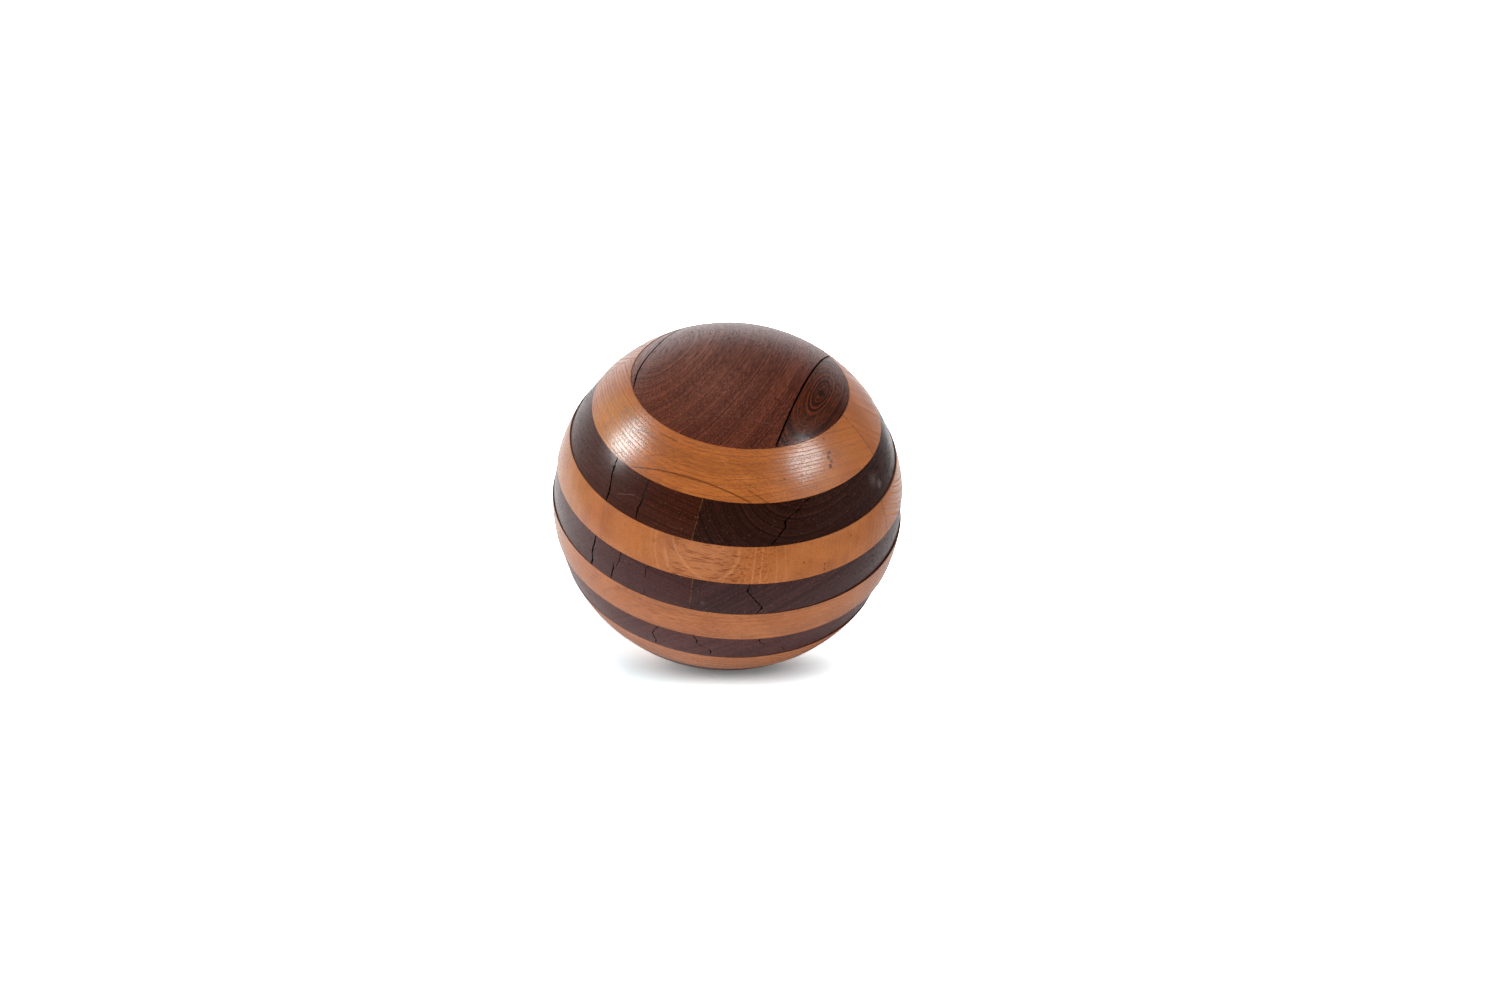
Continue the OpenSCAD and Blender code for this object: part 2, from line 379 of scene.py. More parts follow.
def turned_layer(number):
    """A layer as it comes off the lathe, on a true sphere: an arc spun about the ball's axis."""
    bottom = 1 - 2 * number / LAYERS
    top = 1 - 2 * (number - 1) / LAYERS
    # The true sphere's layers are a little taller than the dried ones
    stretch = half_height / (1 - HEIGHT_LOSS) / radius
    low, high = (math.asin(max(-1, min(1, height * stretch))) for height in (bottom, top))
    steps = math.ceil((high - low) / ARC_STEP)
    bm = bmesh.new()
    arc = []
    for step in range(steps + 1):
        lift = low + (high - low) * step / steps
        arc.append(bm.verts.new((radius * math.cos(lift), 0, radius * math.sin(lift))))
    edges = [bm.edges.new(pair) for pair in zip(arc, arc[1:])]
    bmesh.ops.spin(bm, geom=arc + edges, cent=(0, 0, 0), axis=(0, 0, 1), angle=2 * math.pi,
                   steps=TURNS, use_merge=True)
    bmesh.ops.remove_doubles(bm, verts=bm.verts, dist=HAIR / 10)
    bmesh.ops.holes_fill(bm, edges=[edge for edge in bm.edges if edge.is_boundary], sides=0)
    return bm


def saw(bm, at, normal, keep_lower):
    """Cuts a board off along a plane square to the normal, and closes the cut."""
    bmesh.ops.bisect_plane(bm, geom=bm.verts[:] + bm.edges[:] + bm.faces[:],
                           plane_co=Vector(normal) * at, plane_no=normal,
                           clear_outer=keep_lower, clear_inner=not keep_lower)
    bmesh.ops.holes_fill(bm, edges=[edge for edge in bm.edges if edge.is_boundary], sides=0)


def board_mesh(name, facts, dark):
    """One board: its part of the turned layer, with softened edges and its drying shrinkage."""
    bm = turned_layer(layer_of(name))
    across = (1, 0, 0) if dark else (0, 1, 0)
    gap = OPEN_JOINT / 2 if layer_of(name) == 1 else 0
    shrink = Vector((1 - DARK_WIDTH_LOSS if dark else 1, 1, 1 - HEIGHT_LOSS))
    bmesh.ops.scale(bm, vec=shrink, verts=bm.verts)
    first, last = facts["ends"]
    if first is not None and facts.get("bowed") != "first":
        saw(bm, first * (radius + HAIR) + gap, across, keep_lower=False)
    if last is not None and facts.get("bowed") != "last":
        saw(bm, last * (radius + HAIR) - gap, across, keep_lower=True)
    bmesh.ops.recalc_face_normals(bm, faces=bm.faces)
    sharp = [edge for edge in bm.edges if edge.calc_face_angle(0) > SHARP]
    bmesh.ops.bevel(bm, geom=sharp, offset=RIM_ROUND, offset_type="OFFSET",
                    segments=RIM_SEGMENTS, profile=0.5, affect="EDGES", material=-1)
    return mesh_of(name, bm)


def prism(name, outline, start, end):
    """A closed prism between two copies of an outline."""
    bm = bmesh.new()
    face = bm.faces.new([bm.verts.new(point) for point in outline])
    pushed = bmesh.ops.extrude_face_region(bm, geom=[face])
    moved = [item for item in pushed["geom"] if isinstance(item, bmesh.types.BMVert)]
    bmesh.ops.translate(bm, verts=bm.verts, vec=start)
    bmesh.ops.translate(bm, verts=moved, vec=end - start)
    bmesh.ops.recalc_face_normals(bm, faces=bm.faces)
    return add_object(name, mesh_of(name, bm))


def cut_away(board, cutter):
    """Takes a cutter's space out of a board."""
    cut = board.modifiers.new("cut", "BOOLEAN")
    cut.operation = "DIFFERENCE"
    cut.solver = "EXACT"
    cut.object = cutter
    depsgraph = bpy.context.evaluated_depsgraph_get()
    mesh = bpy.data.meshes.new_from_object(board.evaluated_get(depsgraph))
    board.modifiers.clear()
    board.data = mesh
    bpy.data.objects.remove(cutter)


def cut_bow(board, joint, keep_left):
    """Cuts a board of the cap along the bowed joint, half the open gap back from its line."""
    line = [Vector((joint + off, along, 0)) * radius for along, off in BOW]
    # Two rounds of cutting the corners off make the line smooth
    for _ in range(2):
        smooth = [line[0]]
        for point, after in zip(line, line[1:]):
            smooth += [point.lerp(after, 0.25), point.lerp(after, 0.75)]
        line = smooth + [line[-1]]
    side = 1 if keep_left else -1
    back = Vector((-side * OPEN_JOINT / 2, 0, 0))
    far = side * 2 * radius
    outline = [point + back for point in line]
    outline += [Vector((far, line[-1].y, 0)), Vector((far, line[0].y, 0))]
    under_cap = Vector((0, 0, 0.5 * radius))
    over_cap = Vector((0, 0, BEYOND * radius))
    cut_away(board, prism("joint", outline, under_cap, over_cap))


def crack_cutter(number, path, draws):
    """The slit of one crack, a wandering line on the end grain run in along the grain."""
    bottom = half_height - number * layer_t
    points = []
    for across, height, width in path:
        past = OVER if height == 1 else -OVER if height == 0 else 0
        points.append((across * radius, bottom + height * layer_t + past, width * MM / 2))
    line = []
    for (x, z, half), (next_x, next_z, next_half) in zip(points, points[1:]):
        steps = max(2, round(math.hypot(next_x - x, next_z - z) / CRACK_STEP))
        for step in range(steps):
            share = step / steps
            wander = draws.uniform(-1, 1) * CRACK_WANDER if step else 0
            fray = 1 + draws.uniform(-1, 1) * CRACK_FRAY
            line.append((x + (next_x - x) * share + wander, z + (next_z - z) * share,
                         (half + (next_half - half) * share) * fray))
    line.append(points[-1])
    middle = path[len(path) // 2]
    middle_z = (bottom + middle[1] * layer_t) / radius
    surface = radius * math.sqrt(1 - middle[0] ** 2 - middle_z ** 2)
    outline = [Vector((x - half, 0, z)) for x, z, half in line]
    outline += [Vector((x + half, 0, z)) for x, z, half in reversed(line)]
    front = Vector((0, -BEYOND * radius, 0))
    return prism("crack", outline, front, Vector((0, CRACK_DEPTH - surface, 0)))


def cut_pits(board):
    """Cuts the small pits, each a little longer along the grain than across it."""
    bm = bmesh.new()
    for across, along, size in PITS:
        up = math.sqrt(1 - across ** 2 - along ** 2) * (1 - HEIGHT_LOSS)
        place = Matrix.Translation(Vector((across, along, up)) * radius)
        shape = Matrix.Diagonal((*(share * size for share in PIT_SHAPE), 1 / MM)) * MM
        bmesh.ops.create_icosphere(bm, subdivisions=2, radius=1, matrix=place @ shape)
    cut_away(board, add_object("pits", mesh_of("pits", bm)))


def cut_cracks(board, number, ends):
    """Cuts a layer's cracks out of the board that they lie in."""
    draws = random.Random(number)
    for path in CRACKS.get(number, []):
        cutter = crack_cutter(number, path, draws)
        middle = path[len(path) // 2][0]
        low = -1 if ends[0] is None else ends[0]
        high = 1 if ends[1] is None else ends[1]
        if low < middle < high:
            cut_away(board, cutter)
        else:
            bpy.data.objects.remove(cutter)


def polish(mesh, dark):
    """Gives the turned faces the exact normals of the turned surface, and the others their own."""
    axes = Vector((radius * (1 - DARK_WIDTH_LOSS if dark else 1), radius,
                   radius * (1 - HEIGHT_LOSS)))

    def surface_normal(point):
        return Vector(point[i] / axes[i] ** 2 for i in range(3)).normalized()

    def off_surface(point):
        return abs(sum((point[i] / axes[i]) ** 2 for i in range(3)) - 1)

    normals = [Vector()] * len(mesh.loops)
    for face in mesh.polygons:
        points = [mesh.vertices[index].co for index in face.vertices]
        turned = max(off_surface(point) for point in points) < TURNED_WITHIN
        turned = turned and face.normal.dot(surface_normal(points[0])) > TURNED_FACING
        for index, point in zip(face.loop_indices, points):
            normals[index] = surface_normal(point) if turned else face.normal.copy()
    mesh.normals_split_custom_set(normals)


def make_board(name, facts, dark, material):
    """A finished board: turned, cut, cracked, polished and swung to its place."""
    board = add_object(name + "_board", board_mesh(name, facts, dark))
    if "bowed" in facts:
        keep_left = facts["bowed"] == "last"
        cut_bow(board, facts["ends"][1 if keep_left else 0], keep_left)
    if dark:
        cut_cracks(board, layer_of(name), facts["ends"])
    if name == "layer_1_dark_right":
        cut_pits(board)
    polish(board.data, dark)
    board.data.transform(Matrix.Rotation(-GRAIN_TURN, 4, "Z"))
    board.data.materials.clear()
    board.data.materials.append(material)
    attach(board, "root")
    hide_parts(name)


# ---- Node helpers ----

def new_material(name):
    """A material and its empty node tree."""
    material = bpy.data.materials.new(name)
    material.use_nodes = True
    material.node_tree.nodes.clear()
    return material, material.node_tree


def feed(tree, socket, value):
    """Links a socket to another one, or sets it to a plain value."""
    if isinstance(value, bpy.types.NodeSocket):
        tree.links.new(value, socket)
    else:
        socket.default_value = value


def maths(tree, operation, *values):
    """Works on numbers."""
    node = tree.nodes.new("ShaderNodeMath")
    node.operation = operation
    for socket, value in zip(node.inputs, values):
        feed(tree, socket, value)
    return node.outputs["Value"]


def vectors(tree, operation, *values):
    """Works on vectors. A length, product or distance comes out as a number."""
    node = tree.nodes.new("ShaderNodeVectorMath")
    node.operation = operation
    for socket, value in zip(node.inputs, values):
        feed(tree, socket, value)
    number = operation in ("LENGTH", "DOT_PRODUCT", "DISTANCE")
    return node.outputs["Value" if number else "Vector"]


def rise(tree, value, start, end, low=0.0, high=1.0):
    """Goes smoothly from low to high as the value goes from start to end."""
    node = tree.nodes.new("ShaderNodeMapRange")
    node.interpolation_type = "SMOOTHSTEP"
    for socket, given in zip(node.inputs, (value, start, end, low, high)):
        feed(tree, socket, given)
    return node.outputs["Result"]


def blend(tree, share, first, second, how="MIX"):
    """Mixes two colours, by a share of the second."""
    node = tree.nodes.new("ShaderNodeMix")
    node.data_type = "RGBA"
    node.blend_type = how
    colours = [socket for socket in node.inputs if socket.type == "RGBA"]
    feed(tree, node.inputs["Factor"], share)
    for socket, value in zip(colours, (first, second)):
        feed(tree, socket, (*value, 1) if isinstance(value, tuple) else value)
    return [socket for socket in node.outputs if socket.type == "RGBA"][0]


def noise(tree, place, scale, detail=1.0, roughness=0.5, part="Fac", along_one=False):
    """Noise at a place in space, or along one value only. It lies mostly between 0.3 and 0.7."""
    node = tree.nodes.new("ShaderNodeTexNoise")
    node.noise_dimensions = "1D" if along_one else "3D"
    feed(tree, node.inputs["W" if along_one else "Vector"], place)
    node.inputs["Scale"].default_value = scale
    node.inputs["Detail"].default_value = detail
    node.inputs["Roughness"].default_value = roughness
    return node.outputs[part]


def noise_along(tree, value, pitch, shift, detail):
    """Noise that follows one value: a count of growth rings, by a pitch and from a shift."""
    place = maths(tree, "MULTIPLY_ADD", value, pitch, shift)
    return noise(tree, place, 1.0, detail, along_one=True)


def parts_of(tree, vector):
    """The X, Y and Z of a vector."""
    node = tree.nodes.new("ShaderNodeSeparateXYZ")
    feed(tree, node.inputs["Vector"], vector)
    return node.outputs


def mapping(tree, location, rotation, scale):
    """Coordinates seen from a frame that is moved, turned and scaled."""
    coordinates = tree.nodes.new("ShaderNodeTexCoord")
    node = tree.nodes.new("ShaderNodeMapping")
    node.vector_type = "TEXTURE"
    feed(tree, node.inputs["Vector"], coordinates.outputs["Object"])
    node.inputs["Location"].default_value = location
    node.inputs["Rotation"].default_value = rotation
    node.inputs["Scale"].default_value = scale
    return node.outputs["Vector"]


def tone_ramp(tree, value, stops):
    """A grey that follows the value through the given stops."""
    ramp = tree.nodes.new("ShaderNodeValToRGB")
    elements = ramp.color_ramp.elements
    while len(elements) < len(stops):
        elements.new(0.5)
    for element, (place, tone) in zip(elements, stops):
        element.position = place
        element.color = (tone, tone, tone, 1)
    feed(tree, ramp.inputs["Fac"], value)
    return ramp.outputs["Color"]


def use(tree, group, **values):
    """Places a node group and feeds its inputs. Underscores stand for spaces."""
    node = tree.nodes.new("ShaderNodeGroup")
    node.node_tree = group
    for name, value in values.items():
        feed(tree, node.inputs[name.replace("_", " ")], value)
    return node.outputs


KINDS = {"vector": "NodeSocketVector", "value": "NodeSocketFloat"}


def new_group(name, inputs, outputs):
    """A node group's tree, the values that it is given, and where its results go."""
    tree = bpy.data.node_groups.new(name, "ShaderNodeTree")
    for socket, kind in inputs.items():
        tree.interface.new_socket(socket, in_out="INPUT", socket_type=KINDS[kind])
    for socket, kind in outputs.items():
        tree.interface.new_socket(socket, in_out="OUTPUT", socket_type=KINDS[kind])
    given = tree.nodes.new("NodeGroupInput").outputs
    result = tree.nodes.new("NodeGroupOutput").inputs
    return tree, given, result


# ---- Shared effects ----

def cells_along_grain(tree, given):
    """Coordinates that count cells of a group's own Width and Length, with the length along Y."""
    size = tree.nodes.new("ShaderNodeCombineXYZ")
    for axis, side in zip("XYZ", ("Width", "Length", "Width")):
        feed(tree, size.inputs[axis], given[side])
    cells = vectors(tree, "DIVIDE", given["Vector"], size.outputs["Vector"])
    return vectors(tree, "ADD", cells, given["Seed"])


def scattered(tree, cells):
    """Points scattered one to a cell: the distance to the nearest one, and its own colour."""
    node = tree.nodes.new("ShaderNodeTexVoronoi")
    feed(tree, node.inputs["Vector"], cells)
    node.inputs["Scale"].default_value = 1
    return node.outputs


def growth_rings_group():
    """Counts the growth rings out from the heart of a log that lies along Y."""
    tree, given, result = new_group(
        "Growth rings",
        {"Vector": "vector", "Ring Width": "value", "Start": "value", "Bunching": "value",
         "Waviness": "value", "Unevenness": "value", "Seed": "value"},
        {"Count": "value"})
    drift = vectors(tree, "MULTIPLY", given["Vector"], (26, 7, 26))
    drift = vectors(tree, "ADD", drift, given["Seed"])
    wave = vectors(tree, "SUBTRACT", noise(tree, drift, 1, 2, 0.45, "Color"), (0.5, 0.5, 0.5))
    wave = vectors(tree, "MULTIPLY", wave, given["Waviness"])
    bent = vectors(tree, "ADD", given["Vector"], wave)
    out = vectors(tree, "LENGTH", vectors(tree, "MULTIPLY", bent, (1, 0, 1)))
    out = maths(tree, "MAXIMUM", maths(tree, "SUBTRACT", out, given["Start"]), 0)
    rings = maths(tree, "DIVIDE", out, given["Ring Width"])
    rings = maths(tree, "POWER", rings, given["Bunching"])
    uneven = noise_along(tree, rings, 0.37, given["Seed"], 2)
    uneven = maths(tree, "MULTIPLY", uneven, given["Unevenness"])
    feed(tree, result["Count"], maths(tree, "ADD", rings, uneven))
    return tree


def fibres_group():
    """Streaks along the grain."""
    tree, given, result = new_group(
        "Fibres",
        {"Vector": "vector", "Width": "value", "Length": "value", "Seed": "value"},
        {"Value": "value"})
    feed(tree, result["Value"], noise(tree, cells_along_grain(tree, given), 1, 2, 0.55))
    return tree


def vessels_group():
    """Cut-open vessels: short dashes along the grain, and dots on the end grain."""
    tree, given, result = new_group(
        "Vessels",
        {"Vector": "vector", "Width": "value", "Length": "value", "Share": "value",
         "Seed": "value"},
        {"Mask": "value"})
    points = scattered(tree, cells_along_grain(tree, given))
    # Each vessel draws its own width, from half the share to all of it
    draw = parts_of(tree, points["Color"])["X"]
    width = maths(tree, "MULTIPLY_ADD", draw, 0.5, 0.5)
    edge = maths(tree, "MULTIPLY", width, given["Share"])
    inner = maths(tree, "MULTIPLY", edge, 0.55)
    dash = rise(tree, points["Distance"], inner, edge, 1, 0)
    cluster = noise(tree, vectors(tree, "MULTIPLY", given["Vector"], (170, 60, 170)), 1, 1)
    feed(tree, result["Mask"], maths(tree, "MULTIPLY", dash, rise(tree, cluster, 0.33, 0.52)))
    return tree


def skin_group():
    """A mask of the painted shade below the turned surface: in cracks, pits and on cut faces."""
    tree, given, result = new_group("Below the skin", {"Place": "vector"}, {"Mask": "value"})
    depth = maths(tree, "SUBTRACT", 1, vectors(tree, "LENGTH", given["Place"]))
    feed(tree, result["Mask"], rise(tree, depth, *RECESS_SHADE_DEPTH))
    return tree


def line_group():
    """A mark along the cut of a plane through the wood: a scratch, a hairline or a glue line."""
    tree, given, result = new_group(
        "Line mark",
        {"Place": "vector", "Plane": "vector", "Offset": "value", "Middle": "vector",
         "Reach": "value", "Width": "value", "Wander": "value", "Broken": "value"},
        {"Mask": "value"})
    drift = maths(tree, "SUBTRACT", noise(tree, given["Place"], 26, 2), 0.5)
    drift = maths(tree, "MULTIPLY", drift, given["Wander"])
    off = maths(tree, "SUBTRACT", vectors(tree, "DOT_PRODUCT", given["Place"], given["Plane"]),
                given["Offset"])
    off = maths(tree, "ABSOLUTE", maths(tree, "ADD", off, drift))
    stroke = rise(tree, off, maths(tree, "MULTIPLY", given["Width"], 0.3), given["Width"], 1, 0)
    away = vectors(tree, "DISTANCE", given["Place"], given["Middle"])
    near = rise(tree, away, maths(tree, "MULTIPLY", given["Reach"], 0.8), given["Reach"], 1, 0)
    dots = rise(tree, noise(tree, given["Place"], 75, 2, 0.6), 0.44, 0.56)
    whole = maths(tree, "SUBTRACT", 1, given["Broken"])
    dots = maths(tree, "MULTIPLY_ADD", dots, given["Broken"], whole)
    mask = maths(tree, "MULTIPLY", maths(tree, "MULTIPLY", stroke, near), dots)
    feed(tree, result["Mask"], mask)
    return tree


def spot_group():
    """A mark round one place, with a ragged edge."""
    tree, given, result = new_group(
        "Spot mark",
        {"Place": "vector", "Middle": "vector", "Radius": "value", "Ragged": "value",
         "Grain": "value"},
        {"Mask": "value"})
    grain = vectors(tree, "MULTIPLY", given["Place"], given["Grain"])
    ragged = maths(tree, "SUBTRACT", noise(tree, grain, 1, 3, 0.6), 0.5)
    ragged = maths(tree, "MULTIPLY", ragged, given["Ragged"])
    away = vectors(tree, "DISTANCE", given["Place"], given["Middle"])
    away = maths(tree, "ADD", maths(tree, "DIVIDE", away, given["Radius"]), ragged)
    feed(tree, result["Mask"], rise(tree, away, 0.45, 1, 1, 0))
    return tree


def specks_group():
    """Tiny pale specks, scattered."""
    tree, given, result = new_group(
        "Specks", {"Vector": "vector", "Spacing": "value", "Share": "value", "Seed": "value"},
        {"Mask": "value"})
    cells = vectors(tree, "DIVIDE", given["Vector"], given["Spacing"])
    cells = vectors(tree, "ADD", cells, given["Seed"])
    away = scattered(tree, cells)["Distance"]
    feed(tree, result["Mask"], rise(tree, away, given["Share"], 0, 0, 1))
    return tree


GROWTH_RINGS = growth_rings_group()
FIBRES = fibres_group()
VESSELS = vessels_group()
SKIN = skin_group()
LINE = line_group()
SPOT = spot_group()
SPECKS = specks_group()


# ---- Woods ----

def toned(colour, *tones):
    """A colour multiplied by one tone, or by one for each of its three parts."""
    return tuple(tone * part for tone, part in zip(tones * (3 // len(tones)), colour))


def lay(tree, colour, tint, mask, strength):
    """Lays a tint over a colour where the mask is."""
    return blend(tree, maths(tree, "MULTIPLY", mask, strength), colour, tint)


def fibres(tree, log, size, seed):
    """Streaks along the grain, by their width and length in mm."""
    width, length = size
    return use(tree, FIBRES, Vector=log, Width=width * MM, Length=length * MM, Seed=seed)["Value"]


def dark_figure(tree, log, facts):
    """Bands along the growth rings, broken into streaks, with fine dark vessels.

    Puts out the colour, and how dull the open grain is."""
    seed = float(facts["seed"])
    base, band = facts["base"], facts["line"]
    shade = toned(base, 0.4)
    count = use(tree, GROWTH_RINGS, Vector=log, Ring_Width=facts["ring"] * MM,
                Start=facts.get("start", 0) * MM, Bunching=facts.get("bunching", 1),
                Waviness=facts.get("wavy", 1.5) * MM, Unevenness=1.5, Seed=seed)["Count"]
    streak = fibres(tree, log, DARK_STREAK, seed)
    thread = fibres(tree, log, DARK_THREAD, seed)
    patch = noise(tree, vectors(tree, "MULTIPLY", log, (45, 18, 45)), 1, 2)
    broad = noise_along(tree, count, 0.11, seed, 2)
    bands = noise_along(tree, count, 1.1, seed, 1)
    # Near the heart the rings run on unbroken
    whole = rise(tree, count, *facts.get("fades", (-2, -1)), 0.75, 0.2)
    pale = maths(tree, "MULTIPLY", rise(tree, bands, 0.47, 0.64),
                 rise(tree, streak, 0.40, 0.60, whole, 1))
    pale = maths(tree, "MULTIPLY", pale, rise(tree, patch, 0.35, 0.6, 0.4, 1))
    deep = maths(tree, "MULTIPLY", rise(tree, bands, 0.32, 0.46, 1, 0),
                 rise(tree, streak, 0.60, 0.42, whole, 1))
    colour = blend(tree, rise(tree, broad, 0.35, 0.65, 0.0, 0.3), base, band)
    colour = blend(tree, rise(tree, streak, 0.54, 0.66, 0.0, 0.45), colour, band)
    colour = blend(tree, rise(tree, streak, 0.46, 0.36, 0.0, 0.45), colour, shade)
    colour = lay(tree, colour, band, pale, facts.get("contrast", 0.7))
    colour = lay(tree, colour, shade, deep, 0.55)
    pit = rise(tree, thread, 0.45, 0.35)
    colour = lay(tree, colour, shade, pit, 0.55)
    colour = blend(tree, rise(tree, thread, 0.56, 0.68, 0.0, 0.45), colour, band)
    vein = noise_along(tree, count, 0.3, seed + 0.5, 1)
    vein = maths(tree, "ABSOLUTE", maths(tree, "SUBTRACT", vein, 0.5))
    vein = maths(tree, "MULTIPLY", rise(tree, vein, 0.035, 0.0), rise(tree, streak, 0.4, 0.55))
    colour = lay(tree, colour, shade, vein, 0.6)
    width, length = DARK_VESSEL
    pores = use(tree, VESSELS, Vector=log, Width=width * MM, Length=length * MM, Share=0.42,
                Seed=seed)["Mask"]
    colour = lay(tree, colour, shade, pores, 0.7)
    specks = use(tree, SPECKS, Vector=log, Spacing=SPECK_SPACING * MM, Share=0.12,
                 Seed=seed)["Mask"]
    colour = lay(tree, colour, SPECK, specks, 0.7)
    dull = maths(tree, "MAXIMUM", pores, maths(tree, "MULTIPLY", pit, 0.8))
    dull = maths(tree, "MAXIMUM", dull, rise(tree, streak, 0.46, 0.36, 0, 0.6))
    return colour, dull


def light_figure(tree, log, facts):
    """Thin ring lines, brown vessel dashes along the grain and fine lines between the rings.

    Puts out the colour, and how dull the open grain is."""
    seed = float(facts["seed"])
    base = facts["base"]
    count = use(tree, GROWTH_RINGS, Vector=log, Ring_Width=facts["ring"] * MM, Start=0,
                Bunching=1, Waviness=facts.get("wavy", 2.0) * MM,
                Unevenness=facts.get("uneven", 2.0), Seed=seed)["Count"]
    part = maths(tree, "FRACT", count)
    edge = maths(tree, "ABSOLUTE", maths(tree, "SUBTRACT", part, 0.5))
    thin = facts.get("thin", 0.76)
    line = rise(tree, maths(tree, "MULTIPLY", edge, 2), thin, 0.5 + 0.5 * thin)
    broad = noise_along(tree, count, 0.3, seed, 2)
    fine = noise_along(tree, count, facts["fine"], seed, 1)
    streak = fibres(tree, log, LIGHT_STREAK, seed)
    speckle = fibres(tree, log, LIGHT_SPECKLE, seed)
    patch = noise(tree, vectors(tree, "MULTIPLY", log, (50, 25, 50)), 1, 2)
    colour = blend(tree, rise(tree, broad, 0.35, 0.65), base, toned(base, 0.84))
    colour = blend(tree, rise(tree, patch, 0.4, 0.65, 0.0, 0.8), colour,
                   toned(base, 1.16, 1.26, 1.32))
    colour = blend(tree, rise(tree, speckle, 0.48, 0.7, 0.0, 0.55), colour, toned(base, 0.72))
    colour = blend(tree, rise(tree, streak, 0.48, 0.32, 0.0, 0.6), colour, toned(base, 1.2))
    brown = maths(tree, "MULTIPLY", rise(tree, fine, 0.5, 0.66),
                  rise(tree, streak, 0.42, 0.6, 0.1, 1))
    brown = maths(tree, "MAXIMUM", brown,
                  rise(tree, streak, 0.56, 0.7, 0, facts.get("fibre", 0.8)))
    colour = lay(tree, colour, toned(base, 0.55), brown, facts.get("grain", 0.75))
    colour = lay(tree, colour, facts["line"], line, facts.get("lines", 0.55))
    pores = use(tree, VESSELS, Vector=log, Width=LIGHT_VESSEL_WIDTH * MM,
                Length=facts["dash"] * MM, Share=facts.get("dense", 0.5), Seed=seed)["Mask"]
    if "clusters" in facts:
        along = maths(tree, "ABSOLUTE", parts_of(tree, log)["Y"])
        thick, thinned = (reach * MM for reach in facts["clusters"])
        near = rise(tree, along, thick, thinned, 1, 0.25)
        pores = maths(tree, "MULTIPLY", pores, near)
    colour = lay(tree, colour, toned(base, 0.5, 0.38, 0.15), pores, facts.get("dashes", 0.55))
    dull = maths(tree, "MAXIMUM", maths(tree, "MULTIPLY", pores, 0.8),
                 maths(tree, "MULTIPLY", brown, 0.75))
    return colour, maths(tree, "MAXIMUM", dull, line)


def add_mark(tree, place, colour, dull, mark):
    """Draws one mark over the wood: a line through two or three places, a spot or a tone."""
    kind, places, size, tint, strength = mark[:5]
    size = size * MM / radius
    points = [compass(*point) for point in places]
    if kind != "line":
        mask = use(tree, SPOT, Place=place, Middle=points[0], Radius=size, Ragged=mark[5],
                   Grain=float(mark[6]))["Mask"]
    else:
        # A plane through three places, or through two and the ball's middle, cuts the line
        if len(points) == 3:
            plane = (points[1] - points[0]).cross(points[2] - points[0]).normalized()
        else:
            plane = points[0].cross(points[1]).normalized()
        mask = use(tree, LINE, Place=place, Plane=plane, Offset=plane.dot(points[0]),
                   Middle=sum(points, Vector()) / len(points),
                   Reach=0.56 * (points[0] - points[-1]).length, Width=size, Wander=mark[5],
                   Broken=mark[6])["Mask"]
    mask = maths(tree, "MULTIPLY", mask, strength)
    if kind != "tone":
        dull = maths(tree, "MAXIMUM", dull, maths(tree, "MULTIPLY", mask, MARK_DULL))
    return blend(tree, mask, colour, tint, "MULTIPLY" if kind == "tone" else "MIX"), dull


def add_glue_line(tree, place, colour, at, dark):
    """Draws the line of a closed glue joint, all the way round the ball."""
    tint, width, strength, broken = DARK_GLUE_LINE if dark else LIGHT_GLUE_LINE
    mask = use(tree, LINE, Place=place, Plane=(1, 0, 0) if dark else (0, 1, 0), Offset=at,
               Middle=(0, 0, 0), Reach=9, Width=width * MM / radius, Wander=0.014,
               Broken=broken)["Mask"]
    return lay(tree, colour, tint, mask, strength)


